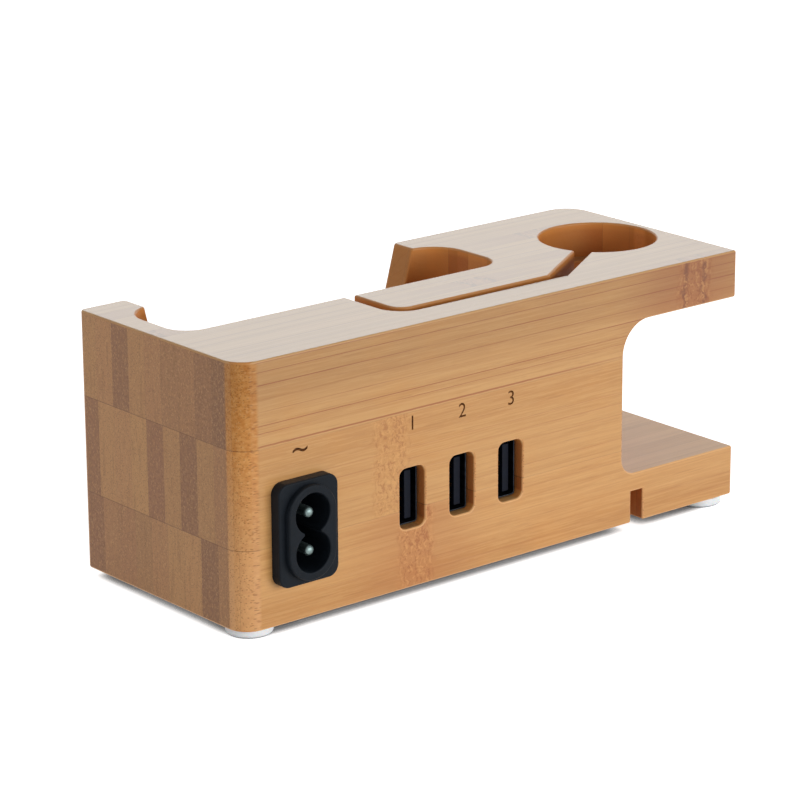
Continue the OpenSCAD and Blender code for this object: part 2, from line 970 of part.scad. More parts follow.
// Ferrite frame with two windows, standing on the coil's foot
module transformer_core() {
    color([0.20, 0.20, 0.21])
        bench()
            translate([core_x - core_t / 2, core_y - core_l / 2, board_top + core_foot])
                difference() {
                    cube([core_t, core_l, core_h - core_foot]);
                    for (y = [core_leg, core_leg + window_w + core_mid])
                        translate([-past, y, core_leg])
                            cube([core_t + 2 * past, window_w, window_h]);
                }
}

// Taped coil round the middle leg, with the foot that is soldered to the board
module transformer_winding() {
    color([0.85, 0.75, 0.25])
        bench()
            translate([core_x, core_y, board_top]) {
                translate([-coil_d / 2, -core_l / 2, 0])
                    cube([coil_d, core_l, core_foot]);
                translate([0, 0, core_foot + core_leg])
                    difference() {
                        translate([-coil_d / 2, -coil_w / 2, 0])
                            cube([coil_d, coil_w, window_h]);
                        translate([-core_t / 2, -core_mid / 2, -past])
                            cube([core_t, core_mid, window_h + 2 * past]);
                    }
                for (x = [-coil_d / 2, core_t / 2])
                    translate([x, -coil_w / 2, core_foot])
                        cube([window_w, coil_w, core_leg]);
            }
}

// Disc capacitor that bridges the two sides of the transformer
module y_capacitor() {
    color([0.15, 0.35, 0.70])
        bench()
            translate([disc_x, core_y, board_top + disc_d / 2])
                rotate([0, 90, 0])
                    cylinder(d = disc_d, h = disc_t);
}

module controller_chip() {
    color(black)
        bench()
            translate([between_23 - chip_l / 2, post_y - chip_w / 2, board_top])
                cube([chip_l, chip_w, chip_t]);
}

// Flat rectifier soldered to the underside of the board
module output_diode() {
    color(black)
        bench()
            translate([core_x - diode_l / 2, core_y - diode_w / 2, board_under - diode_t])
                cube([diode_l, diode_w, diode_t]);
}

// Drum-wound choke between the first two sockets
module output_choke() {
    color([0.55, 0.30, 0.15])
        bench()
            translate([between_12, choke_y, board_top]) {
                cylinder(d = choke_d, h = choke_rim_t);
                translate([0, 0, choke_rim_t])
                    cylinder(d = choke_coil_d, h = choke_coil_h);
                translate([0, 0, choke_rim_t + choke_coil_h])
                    cylinder(d = choke_d, h = choke_rim_t);
            }
}

module output_capacitor_1() {
    color(sleeve)
        bench()
            can_capacitor(between_23, main_cap_y, main_cap_d, out_cap_h);
}

module output_capacitor_2() {
    y = main_cap_y + (main_cap_d + part_gap + small_cap_d) / 2;
    color(sleeve)
        bench()
            can_capacitor(between_23, y, small_cap_d, out_cap_h);
}

module output_capacitor_3() {
    y = choke_y + (choke_d + part_gap + small_cap_d) / 2;
    color(sleeve)
        bench()
            can_capacitor(between_12, y, small_cap_d, out_cap_h);
}

upper_board();
middle_board();
lower_board();
bottom_cover();
cover_screws();
insulating_sheet();
foot_charger_rear();
foot_charger_front();
foot_watch_rear();
foot_watch_front();
inlet_housing();
inlet_pin_upper();
inlet_pin_lower();
inlet_wire_upper();
inlet_wire_lower();
charger_board();
board_spacers();
board_screws();
board_nuts();
usb_shell_1();
usb_shell_2();
usb_shell_3();
usb_insulator_1();
usb_insulator_2();
usb_insulator_3();
usb_contacts_1();
usb_contacts_2();
usb_contacts_3();
fuse();
bridge_rectifier();
bulk_capacitor_1();
bulk_capacitor_2();
transformer_core();
transformer_winding();
y_capacitor();
controller_chip();
output_diode();
output_choke();
output_capacitor_1();
output_capacitor_2();
output_capacitor_3();
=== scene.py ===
import math

import bmesh
import bpy
from mathutils import Matrix, Vector


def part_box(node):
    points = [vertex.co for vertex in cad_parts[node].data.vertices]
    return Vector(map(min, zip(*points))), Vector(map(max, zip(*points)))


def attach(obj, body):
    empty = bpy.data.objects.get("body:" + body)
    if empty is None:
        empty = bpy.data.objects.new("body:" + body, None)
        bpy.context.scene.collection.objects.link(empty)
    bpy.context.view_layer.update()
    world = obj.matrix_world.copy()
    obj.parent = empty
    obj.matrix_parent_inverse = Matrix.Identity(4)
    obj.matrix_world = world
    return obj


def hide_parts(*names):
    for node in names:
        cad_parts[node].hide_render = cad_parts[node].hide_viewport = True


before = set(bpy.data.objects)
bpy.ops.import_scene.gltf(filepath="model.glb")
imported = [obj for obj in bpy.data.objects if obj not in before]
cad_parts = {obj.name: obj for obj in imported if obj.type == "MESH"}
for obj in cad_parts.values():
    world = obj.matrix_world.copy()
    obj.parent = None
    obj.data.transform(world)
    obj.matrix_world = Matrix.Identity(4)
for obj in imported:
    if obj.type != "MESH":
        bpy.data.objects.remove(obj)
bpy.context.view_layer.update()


# The bamboo block: three boards, each glued up from upright strips about 6 mm wide, pressed
# together with thin seams and lacquered. The pocket, gap, slots and sockets are routed, and
# every edge is eased with a small round, but none at the two glue seams.
mm = 0.001
rear_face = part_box("middle_board")[1].y
front_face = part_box("middle_board")[0].y
seam_heights = (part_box("lower_board")[1].z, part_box("middle_board")[1].z)
underside_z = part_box("lower_board")[0].z
top_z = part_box("upper_board")[1].z
half_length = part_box("upper_board")[1].x
strip_width = 6.05 * mm
outer_ease = 0.5 * mm
dip_ease = 1.3 * mm
corner_r = 6.5 * mm
skin = 0.45 * mm
knuckle_spread = 330 * mm
lines_per_mm = 0.37


def srgb(red, green, blue):
    """Colour given as 0 to 255 values, as the shader wants it."""
    shares = [value / 255 for value in (red, green, blue)]
    linear = [s / 12.92 if s <= 0.04045 else ((s + 0.055) / 1.055) ** 2.4 for s in shares]
    return (*linear, 1.0)


def put(tree, kind, inputs=None, **settings):
    """Adds a shader node, with its settings and with values or links on its inputs."""
    made = tree.nodes.new("ShaderNode" + kind)
    for name, value in settings.items():
        setattr(made, name, value)
    for socket, value in (inputs or {}).items():
        if isinstance(value, bpy.types.NodeSocket):
            tree.links.new(value, made.inputs[socket])
        else:
            made.inputs[socket].default_value = value
    return made


def calc(tree, operation, *values, clamp=False):
    """Math node's result."""
    numbered = dict(enumerate(values))
    return put(tree, "Math", numbered, operation=operation, use_clamp=clamp).outputs[0]


def product(tree, first, *others):
    """Product of several values."""
    for other in others:
        first = calc(tree, "MULTIPLY", first, other)
    return first


def apart(tree, first, second):
    """How far apart two values are."""
    return calc(tree, "ABSOLUTE", calc(tree, "SUBTRACT", first, second))


def fade(tree, value, start, end, low=0.0, high=1.0):
    """Smooth step from low to high as value goes from start to end."""
    inputs = {"Value": value, "From Min": start, "From Max": end, "To Min": low, "To Max": high}
    return put(tree, "MapRange", inputs, interpolation_type="SMOOTHSTEP").outputs["Result"]


def mix(tree, share, first, second, how="MIX"):
    """Colour mixed from two colours."""
    made = put(tree, "Mix", {0: share, 6: first, 7: second}, data_type="RGBA", blend_type=how)
    return made.outputs[2]


def layered(tree, colour, *layers):
    """Colour with others laid over it in turn, each given as mask, strength and colour."""
    for mask, strength, laid in layers:
        colour = mix(tree, product(tree, mask, strength), colour, laid)
    return colour


def object_mm(tree, stretch=(1, 1, 1)):
    """Place on the object in millimetres, with each axis stretched."""
    place = put(tree, "TexCoord").outputs["Object"]
    scale = [share / mm for share in stretch]
    return put(tree, "Mapping", {"Vector": place, "Scale": scale}).outputs["Vector"]


def xyz(tree, vector):
    """The three parts of a vector."""
    return put(tree, "SeparateXYZ", {0: vector}).outputs


def vector_sum(tree, first, second):
    """Sum of two vectors."""
    return put(tree, "VectorMath", {0: first, 1: second}, operation="ADD").outputs[0]


def noise(tree, vector, scale, detail=2.0, roughness=0.5):
    """Noise value between 0 and 1."""
    inputs = {"Vector": vector, "Scale": scale, "Detail": detail, "Roughness": roughness}
    return put(tree, "TexNoise", inputs).outputs["Fac"]


def dots(tree, vector, scale, core, edge):
    """Scattered round spots: 1 within their core and 0 past their edge."""
    distance = put(tree, "TexVoronoi", {"Vector": vector, "Scale": scale}).outputs["Distance"]
    return fade(tree, distance, core, edge, 1.0, 0.0)


def drawn_lots(tree, number, seed):
    """Three random values between 0 and 1 that belong to a whole number."""
    inputs = {"W": calc(tree, "ADD", number, seed)}
    lots = put(tree, "TexWhiteNoise", inputs, noise_dimensions="1D").outputs["Color"]
    return put(tree, "SeparateColor", {0: lots}).outputs


def new_group(name, inputs, outputs):
    """Node group with float inputs and the outputs given as name: kind."""
    tree = bpy.data.node_groups.new(name, "ShaderNodeTree")
    for label in inputs:
        tree.interface.new_socket(label, in_out="INPUT", socket_type="NodeSocketFloat")
    for label, kind in outputs.items():
        tree.interface.new_socket(label, in_out="OUTPUT", socket_type="NodeSocket" + kind)
    return tree, tree.nodes.new("NodeGroupInput"), tree.nodes.new("NodeGroupOutput")


def placed_group(tree, group, values):
    """Puts a node group into a material with its own input values, and returns its outputs."""
    made = tree.nodes.new("ShaderNodeGroup")
    made.node_tree = group
    for label, value in values.items():
        made.inputs[label].default_value = value
    return made.outputs


def knuckle_distance(tree, wanted, x, strip, lot):
    """Distance along a strip to the joint of the bamboo stem, in widths of the joint."""
    inner = calc(tree, "GREATER_THAN", strip, -0.5)
    stray = product(tree, calc(tree, "SUBTRACT", lot, 0.5), knuckle_spread / mm)
    knuckle_x = calc(tree, "MULTIPLY_ADD", stray, inner, wanted["Knuckle X"])
    wander = noise(tree, object_mm(tree, (0.0, 0.3, 0.3)), 1.0)
    off = calc(tree, "SUBTRACT", calc(tree, "SUBTRACT", x, knuckle_x),
               calc(tree, "MULTIPLY_ADD", wander, 4.0, -2.0))
    return calc(tree, "DIVIDE", calc(tree, "ABSOLUTE", off), wanted["Knuckle Width"])


def fibre_places(tree, knuckle, tone, shift):
    """How the fibres crumple at the knuckle, and a function for places drawn out along them."""
    inputs = {"Vector": object_mm(tree, (0.5, 0.7, 0.7)), "Scale": 1.0, "Detail": 1.0}
    crumple = put(tree, "TexNoise", inputs).outputs["Color"]
    inputs = {0: crumple, 1: (0.5, 0.5, 0.5)}
    aside = put(tree, "VectorMath", inputs, operation="SUBTRACT").outputs[0]
    inputs = {0: aside, "Scale": calc(tree, "MULTIPLY_ADD", knuckle, 2.4, 0.2)}
    bent = put(tree, "VectorMath", inputs, operation="SCALE").outputs[0]
    inputs = {"X": product(tree, shift, 90.0), "Z": product(tree, tone, 40.0)}
    shuffle = put(tree, "CombineXYZ", inputs).outputs[0]

    def along(stretch, sideways=1.0):
        """Place squeezed by a share along X and another along Y, and moved by the strip's lots."""
        factors = {0: vector_sum(tree, object_mm(tree), bent), 1: (stretch, sideways, 1)}
        drawn = put(tree, "VectorMath", factors, operation="MULTIPLY").outputs[0]
        return vector_sum(tree, drawn, shuffle)

    return bent, along


def grain_lines(tree, wanted, along, depth, z):
    """Masks of the thin dark lines along the fibres, and of the pale ones between them."""
    worn = fade(tree, noise(tree, along(0.022, 0.3), 0.7), 0.34, 0.56)
    level = product(tree, calc(tree, "MULTIPLY_ADD", depth, 0.8, z), lines_per_mm)
    wander = noise(tree, along(0.0022, 0.12), 0.30, 1.0)
    level = calc(tree, "MULTIPLY_ADD", wander, 1.3, level)
    dark_lot, pale_lot, _ = drawn_lots(tree, calc(tree, "FLOOR", level), wanted["Seed"])
    off = apart(tree, calc(tree, "FRACT", level), 0.5)
    dark = product(tree, fade(tree, off, 0.02, 0.07, 1.0, 0.0), worn,
                   fade(tree, dark_lot, 0.1, 0.7, 0.25, 1.0), wanted["Lines"])
    pale = product(tree, fade(tree, off, 0.40, 0.46), fade(tree, pale_lot, 0.3, 0.8),
                   wanted["Lines"])
    return dark, pale


def worked_faces(tree, x, depth, z):
    """Masks of how the wood is worked: sawn, cut at a slant, routed, eased and lacquered, and of
    the pale sheen painted on up-facing faces.
    """
    normal = put(tree, "TexCoord").outputs["Normal"]
    lean_x, lean_y, lean_z = [calc(tree, "ABSOLUTE", part) for part in xyz(tree, normal)]
    upright = fade(tree, lean_z, 0.1, 0.4, 1.0, 0.0)
    end = fade(tree, lean_x, 0.985, 0.998)
    slant = product(tree, fade(tree, lean_x, 0.02, 0.22), upright)
    flattest = calc(tree, "MAXIMUM", lean_x, calc(tree, "MAXIMUM", lean_y, lean_z))
    rim = product(tree, fade(tree, flattest, 0.94, 0.995, 1.0, 0.0),
                  calc(tree, "SUBTRACT", 1.0, upright))

    from_end = calc(tree, "SUBTRACT", half_length / mm, calc(tree, "ABSOLUTE", x))
    from_front = calc(tree, "SUBTRACT", (rear_face - front_face) / mm, depth)
    from_side = calc(tree, "MINIMUM", depth, from_front)
    within = calc(tree, "GREATER_THAN", calc(tree, "MINIMUM", from_end, from_side), skin / mm)
    past_corner = calc(tree, "GREATER_THAN", calc(tree, "MAXIMUM", from_end, from_side),
                       corner_r / mm)
    routed = product(tree, within, past_corner, upright)

    lowered = calc(tree, "LESS_THAN", z, (top_z - skin) / mm)
    coated = calc(tree, "MULTIPLY_ADD", product(tree, within, lowered), -0.75, 1.0)
    dulled = calc(tree, "MAXIMUM", calc(tree, "MAXIMUM", end, rim), product(tree, slant, 0.6))
    lacquer = calc(tree, "SUBTRACT", coated, product(tree, dulled, 0.7), clamp=True)
    return {
        "end": end,
        "slant": slant,
        "rim": rim,
        "within": within,
        "routed": routed,
        "routed end": product(tree, fade(tree, lean_x, 0.3, 0.7), routed),
        "unrouted": calc(tree, "SUBTRACT", 1.0, routed),
        "lacquer": lacquer,
        # Painted sheen: up-facing faces tinted pale grey-beige, more where lacquered
        "painted_top_sheen": product(tree, fade(tree, lean_z, 0.8, 0.98),
                          calc(tree, "MULTIPLY_ADD", lacquer, 0.20, 0.10)),
    }


def bamboo_grain():
    """Strips, fibres, dark lines and knuckles of a glued bamboo board, with the grain along X."""
    tree, given, result = new_group(
        "bamboo grain",
        ["First Strip", "Seed", "Knuckle X", "Knuckle Width", "Stain", "Lines", "Lightness",
         "Shade"],
        {"Colour": "Color", "Roughness": "Float", "Height": "Float", "Lacquer": "Float"},
    )
    wanted = given.outputs
    x, y, z = xyz(tree, object_mm(tree))
    depth = calc(tree, "SUBTRACT", rear_face / mm, y)
    worked = worked_faces(tree, x, depth, z)

    # Strips stand side by side from the rear face on, and each draws its lots by its number
    past_first = calc(tree, "SUBTRACT", depth, wanted["First Strip"])
    strips = calc(tree, "DIVIDE", past_first, strip_width / mm)
    strip = calc(tree, "FLOOR", strips)
    tone, knuckle_lot, shift = drawn_lots(tree, strip, wanted["Seed"])
    seam = fade(tree, apart(tree, calc(tree, "FRACT", strips), 0.5), 0.486, 0.496)
    off_low, off_high = [apart(tree, z, height / mm) for height in seam_heights]
    glue = fade(tree, calc(tree, "MINIMUM", off_low, off_high), 0.05, 0.16, 1.0, 0.0)

    # Each strip holds one knuckle, round which it is stained and scarred and the fibres crumple
    near = knuckle_distance(tree, wanted, x, strip, knuckle_lot)
    knuckle = fade(tree, near, 0.3, 0.62, 1.0, 0.0)
    stain = product(tree, fade(tree, near, 0.4, 2.6, 1.0, 0.0), wanted["Stain"])
    bent, along = fibre_places(tree, knuckle, tone, shift)
    scar_place = vector_sum(tree, object_mm(tree, (1.15, 0.6, 0.6)), bent)
    scars = noise(tree, scar_place, 0.95, 2.0, 0.6)
    dark_scar = product(tree, knuckle, fade(tree, scars, 0.52, 0.64))
    pale_scar = product(tree, knuckle, fade(tree, scars, 0.36, 0.46, 1.0, 0.0))
    bar = product(tree, fade(tree, apart(tree, near, 0.27), 0.02, 0.10, 1.0, 0.0),
                  fade(tree, scars, 0.34, 0.56))
    bar = calc(tree, "MULTIPLY", bar,
               calc(tree, "MULTIPLY_ADD", wanted["Stain"], 5.0, -2.3), clamp=True)

    # Streaks and lines along the fibres, and the pores and flecks of their cut ends
    broad = noise(tree, along(0.004, 0.4), 0.16, 2.0, 0.45)
    middling = noise(tree, along(0.008, 0.5), 0.75)
    fine = noise(tree, along(0.03), 2.6, 3.0, 0.6)
    mottle = noise(tree, object_mm(tree, (0.07, 0.1, 0.1)), 1.0)
    dash = dots(tree, along(0.05), 1.15, 0.10, 0.22)
    dark_line, pale_line = [product(tree, line, worked["unrouted"])
                            for line in grain_lines(tree, wanted, along, depth, z)]
    pore = dots(tree, object_mm(tree, (0.0, 1.0, 1.0)), 2.3, 0.16, 0.42)
    fleck = dots(tree, object_mm(tree, (0.0, 1.5, 0.8)), 1.5, 0.12, 0.40)
    grit = noise(tree, object_mm(tree, (0.3, 1.0, 1.0)), 1.1, 3.0, 0.65)
    patch = noise(tree, object_mm(tree, (0.0, 1.0, 0.12)), 0.8, 2.0, 0.6)

    # Faces along the fibres are straw yellow to tan
    straw = mix(tree, fade(tree, broad, 0.30, 0.70), srgb(193, 137, 75), srgb(211, 158, 96))
    wood = layered(
        tree, straw,
        (fade(tree, tone, 0.0, 1.0), 0.25, srgb(222, 173, 113)),
        (fade(tree, middling, 0.36, 0.66), 0.35, srgb(186, 129, 70)),
        (fade(tree, mottle, 0.45, 0.75), 0.35, srgb(208, 146, 76)),
        (fade(tree, fine, 0.40, 0.68), 0.28, srgb(228, 181, 119)),
        (dash, 0.16, srgb(150, 94, 50)),
        (stain, 1.0, srgb(168, 98, 50)),
        (dark_line, 0.70, srgb(152, 72, 30)),
        (pale_line, 0.24, srgb(234, 188, 128)),
        (knuckle, 0.25, srgb(206, 146, 80)),
        (product(tree, knuckle, wanted["Stain"]), 0.9, srgb(172, 100, 50)),
        (dark_scar, calc(tree, "MULTIPLY_ADD", wanted["Stain"], 0.5, 0.40), srgb(156, 86, 36)),
        (pale_scar, 0.30, srgb(232, 176, 108)),
        (bar, 1.0, srgb(124, 66, 30)),
        # Routed walls: a warm orange that is painted bounce light inside the recesses
        (worked["routed"], 0.75, srgb(220, 138, 64)),
    )

    # Sawn ends are brown. Upright corners, cut across the fibres at a slant, are orange and
    # paler toward the foot
    brown = mix(tree, fade(tree, tone, 0.12, 0.78), srgb(144, 101, 70), srgb(202, 151, 99))
    sawn = layered(
        tree, brown,
        (knuckle_lot, 0.40, srgb(180, 122, 88)),
        (fade(tree, patch, 0.50, 0.70), 0.35, srgb(146, 101, 64)),
        (fade(tree, grit, 0.38, 0.66), 0.30, srgb(204, 152, 98)),
        (fleck, 0.48, srgb(218, 172, 120)),
        (pore, 0.44, srgb(116, 78, 46)),
    )
    toward_foot = fade(tree, z, underside_z / mm + 6.0, top_z / mm - 10.0, 0.55, 0.0)
    orange = mix(tree, fade(tree, grit, 0.35, 0.65), srgb(198, 128, 58), srgb(216, 152, 82))
    slanted = layered(
        tree, orange,
        (toward_foot, 1.0, srgb(226, 178, 130)),
        (fleck, 0.30, srgb(232, 184, 124)),
        (pore, 0.46, srgb(130, 72, 28)),
    )

    # Routed walls are painted a warm orange for light bounced round the recesses, lighter near
    # their top as painted light at the lip, and eased rims carry a painted pale highlight
    painted_bounce_orange = mix(tree, fade(tree, tone, 0.1, 0.9), srgb(202, 118, 56), srgb(234, 152, 78))
    # Painted light: routed walls lighter within about 2 mm of the top, where light falls in
    painted_lip_light = product(tree, worked["routed"], fade(tree, z, top_z / mm - 2.2, top_z / mm - 0.6))
    # Painted highlight: rounded edge rims made pale cream, more orange inside the recesses
    painted_rim_highlight = mix(tree, worked["within"], srgb(238, 184, 124), srgb(228, 152, 78))
    face = layered(
        tree, wood,
        (product(tree, worked["slant"], worked["unrouted"]), 1.0, slanted),
        (worked["end"], 1.0, sawn),
        (worked["routed end"], 0.75, painted_bounce_orange),
        (painted_lip_light, 0.55, srgb(236, 158, 78)),
        (worked["rim"], 0.80, painted_rim_highlight),
        (worked["painted_top_sheen"], 1.0, srgb(198, 184, 138)),
        (seam, 0.22, srgb(122, 80, 48)),
        (glue, calc(tree, "MULTIPLY_ADD", worked["slant"], 0.35, 0.14), srgb(104, 62, 34)),
    )

    # All but the sawn ends follow the board's own lightness, and shade off toward the top
    climb = fade(tree, z, seam_heights[1] / mm + 2.0, top_z / mm - 3.0)
    shaded = calc(tree, "SUBTRACT", wanted["Lightness"], product(tree, climb, wanted["Shade"]))
    lightness = put(tree, "CombineColor", {0: shaded, 1: shaded, 2: shaded}).outputs[0]
    face = mix(tree, calc(tree, "SUBTRACT", 1.0, worked["end"]), face,
               mix(tree, 1.0, face, lightness, "MULTIPLY"))

    cross_cut = calc(tree, "MAXIMUM", worked["end"], worked["slant"])
    rough = calc(tree, "MULTIPLY_ADD", fine, 0.10, 0.38)
    rough = calc(tree, "MULTIPLY_ADD", cross_cut, 0.12, rough)
    height = calc(tree, "MULTIPLY_ADD", pore, -0.35, product(tree, fine, 0.35))
    for mark, sunk in ((seam, -0.8), (glue, -0.8), (dark_line, -0.6), (dark_scar, -0.5)):
        height = calc(tree, "MULTIPLY_ADD", mark, sunk, height)
    tree.links.new(face, result.inputs["Colour"])
    tree.links.new(rough, result.inputs["Roughness"])
    tree.links.new(height, result.inputs["Height"])
    tree.links.new(worked["lacquer"], result.inputs["Lacquer"])
    return tree


def finish(name, **values):
    """New material, with plain values on its shader's own sockets."""
    made = bpy.data.materials.new(name)
    made.use_nodes = True
    shader = made.node_tree.nodes["Principled BSDF"]
    for socket, value in values.items():
        shader.inputs[socket.replace("_", " ")].default_value = value
    return made, made.node_tree, shader


def relief(tree, shader, height, strength, depth):
    """Bump on a shader from a height between 0 and 1, depth being in millimetres."""
    inputs = {"Height": height, "Strength": strength, "Distance": depth * mm}
    tree.links.new(put(tree, "Bump", inputs).outputs["Normal"], shader.inputs["Normal"])


grain_group = bamboo_grain()


def lacquered_bamboo(name, **values):
    """Bamboo under a satin lacquer, which mirrors little straight on and much at a slant."""
    made, tree, shader = finish(name, Specular_IOR_Level=0.25, Coat_IOR=1.33, Coat_Roughness=0.30)
    labelled = {label.replace("_", " "): value for label, value in values.items()}
    grain = placed_group(tree, grain_group, labelled)
    tree.links.new(grain["Colour"], shader.inputs["Base Color"])
    tree.links.new(grain["Roughness"], shader.inputs["Roughness"])
    tree.links.new(grain["Lacquer"], shader.inputs["Coat Weight"])
    relief(tree, shader, grain["Height"], 0.4, 0.08)
    return made


def clean_copy(node):
    """Mesh of a CAD node, merged and with its flat faces joined, to be reworked."""
    copy = bmesh.new()
    copy.from_mesh(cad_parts[node].data)
    bmesh.ops.remove_doubles(copy, verts=copy.verts, dist=0.001 * mm)
    bmesh.ops.dissolve_limit(copy, angle_limit=math.radians(0.4), verts=copy.verts,
                             edges=copy.edges)
    return copy


def ease(copy, width, keep=None, segments=3):
    """Rounds the outer sharp edges of a mesh, or those of them that keep accepts."""
    sharp = math.radians(35)
    edges = [e for e in copy.edges if e.is_manifold and e.calc_face_angle_signed() > sharp]
    chosen = [e for e in edges if keep is None or keep(e)]
    bmesh.ops.bevel(copy, geom=chosen, offset=width, offset_type="OFFSET", affect="EDGES",
                    segments=segments, profile=0.5, material=-1, clamp_overlap=False)


def shown(copy, name, node, slot, *materials):
    """Piece from a finished mesh, smooth but for its sharp edges, that stands for a CAD node."""
    mesh = bpy.data.meshes.new(name)
    copy.to_mesh(mesh)
    copy.free()
    for material in materials:
        mesh.materials.append(material)
    mesh.shade_smooth()
    mesh.set_sharp_from_angle(angle=math.radians(40))
    made = bpy.data.objects.new(name, mesh)
    bpy.context.scene.collection.objects.link(made)
    flat = made.modifiers.new("flat faces", "WEIGHTED_NORMAL")
    flat.keep_sharp = True
    flat.weight = 100
    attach(made, "root")
    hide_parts(node)


def on_plane(edge, axis, place):
    """Whether both ends of an edge lie on the plane at this place along an axis."""
    return all(abs(v.co[axis] - place) < 0.02 * mm for v in edge.verts)


def is_outer_edge(edge):
    """Whether an edge isn't at a glue seam."""
    return not any(on_plane(edge, 2, seam) for seam in seam_heights)


def is_dip_edge(edge):
    """Whether an edge is the front rim of the dip between the hooks."""
    level = any(on_plane(edge, 2, height) for height in (underside_z, *seam_heights, top_z))
    inner = all(abs(v.co.x) < half_length - corner_r for v in edge.verts)
    return on_plane(edge, 1, front_face) and inner and not level


# A board's seed settles its strips' lots, as in the row of pale and brown strips at its sawn
# end. First strip, knuckle place and knuckle width are in millimetres
boards = {
    "upper_board": dict(First_Strip=3.4, Seed=173113.0, Knuckle_X=-59.5, Knuckle_Width=11.0,
                        Stain=0.60, Lines=1.0, Lightness=0.93, Shade=0.16),
    "middle_board": dict(First_Strip=3.2, Seed=121868.0, Knuckle_X=32.0, Knuckle_Width=10.0,
                         Stain=0.05, Lines=0.30, Lightness=1.0, Shade=0.0),
    "lower_board": dict(First_Strip=2.3, Seed=72125.0, Knuckle_X=25.0, Knuckle_Width=10.0,
                        Stain=0.34, Lines=0.25, Lightness=1.05, Shade=0.0),
}
board_meshes = {}
board_finishes = {}
for node, values in boards.items():
    board_meshes[node] = clean_copy(node)
    ease(board_meshes[node], dip_ease, keep=is_dip_edge, segments=6)
    ease(board_meshes[node], outer_ease, keep=is_outer_edge)
    board_finishes[node] = lacquered_bamboo("bamboo, " + node.replace("_", " "), **values)


# Plain numbers over the three USB sockets and a wave sign over the mains inlet: thin strokes
# burnt about a fifth of a millimetre into the lacquered face, brown at the bottom.
mark_height = 3.3 * mm
mark_depth = 0.22 * mm
mark_foot_z = 38.4 * mm
wave_size = 1.6
capital_share = 0.70


def burnt_bamboo():
    """Charred wood at the bottom of a burnt stroke, in patches of two browns."""
    made, tree, shader = finish("burnt bamboo", Specular_IOR_Level=0.15)
    char = noise(tree, object_mm(tree, (0.4, 1.0, 1.0)), 2.4, 3.0, 0.6)
    brown = mix(tree, fade(tree, char, 0.3, 0.7), srgb(70, 40, 18), srgb(122, 76, 38))
    tree.links.new(brown, shader.inputs["Base Color"])
    tree.links.new(calc(tree, "MULTIPLY_ADD", char, 0.2, 0.65), shader.inputs["Roughness"])
    relief(tree, shader, char, 0.5, 0.05)
    return made


def add_mark(solid, sign, middle_x, size=1.0):
    """Adds a sign to a mesh, set across the rear face, as deep as the burn on the inside."""
    letters = bpy.data.curves.new("mark", "FONT")
    letters.body = sign
    letters.size = size * mark_height / capital_share
    letters.align_x = "CENTER"
    letters.extrude = mark_depth
    letters.resolution_u = 5
    carrier = bpy.data.objects.new("mark", letters)
    bpy.context.scene.collection.objects.link(carrier)
    bpy.context.view_layer.update()
    shape = carrier.to_mesh()
    shape.transform(Matrix(((-1, 0, 0, middle_x), (0, 0, 1, rear_face), (0, 1, 0, mark_foot_z),
                            (0, 0, 0, 1))))
    solid.from_mesh(shape)
    carrier.to_mesh_clear()
    bpy.data.objects.remove(carrier)


def carve(copy, solid, outside, inside):
    """Takes a solid out of a mesh, and leaves the inside material on the cut faces."""
    pair = []
    for mesh, material in ((copy, outside), (solid, inside)):
        bmesh.ops.remove_doubles(mesh, verts=mesh.verts, dist=0.0005 * mm)
        data = bpy.data.meshes.new("carving")
        mesh.to_mesh(data)
        data.materials.append(material)
        pair.append(bpy.data.objects.new("carving", data))
        bpy.context.scene.collection.objects.link(pair[-1])
    blank, cutter = pair
    cut = blank.modifiers.new("carve", "BOOLEAN")
    cut.operation = "DIFFERENCE"
    cut.solver = "EXACT"
    cut.material_mode = "TRANSFER"
    cut.object = cutter
    bpy.context.view_layer.update()
    carved = blank.evaluated_get(bpy.context.evaluated_depsgraph_get())
    copy.clear()
    copy.from_mesh(carved.to_mesh())
    carved.to_mesh_clear()
    for used in pair:
        bpy.data.objects.remove(used)


char = burnt_bamboo()
marks = bmesh.new()
for number in (1, 2, 3):
    low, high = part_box(f"usb_shell_{number}")
    add_mark(marks, str(number), (low.x + high.x) / 2)
low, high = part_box("inlet_housing")
add_mark(marks, "~", (low.x + high.x) / 2, size=wave_size)
carve(board_meshes["middle_board"], marks, board_finishes["middle_board"], char)
marks.free()

for node, mesh in board_meshes.items():
    finishes = [board_finishes[node]] + [char] * (node == "middle_board")
    shown(mesh, node + "_bamboo", node, "bamboo", *finishes)


# Feet: four round pads of soft white rubber, stuck under the corners, with a rounded lower
# edge and a faint haze in the rubber.
foot_profile = ((0.0, 0.0), (0.82, 0.0), (0.90, 0.04), (0.96, 0.13), (0.995, 0.30), (1.0, 0.50),
                (1.0, 0.90), (0.985, 0.97), (0.96, 1.0), (0.0, 1.0))


def surface(name, dark, light, grain, bump, roughness, stretch=(1, 1, 1), **values):
    """Material whose colour, roughness and relief wander together, grain being per millimetre."""
    made, tree, shader = finish(name, **values)
    place = object_mm(tree, stretch)
    wander = calc(tree, "MULTIPLY_ADD", noise(tree, place, grain, 3.0, 0.6), 0.7,
                  product(tree, noise(tree, place, grain / 9, 1.0), 0.3))
    colour = mix(tree, fade(tree, wander, 0.3, 0.7), srgb(*dark), srgb(*light))
    tree.links.new(colour, shader.inputs["Base Color"])
    tree.links.new(fade(tree, wander, 0.25, 0.75, *roughness), shader.inputs["Roughness"])
    relief(tree, shader, wander, 0.5, bump)
    return made


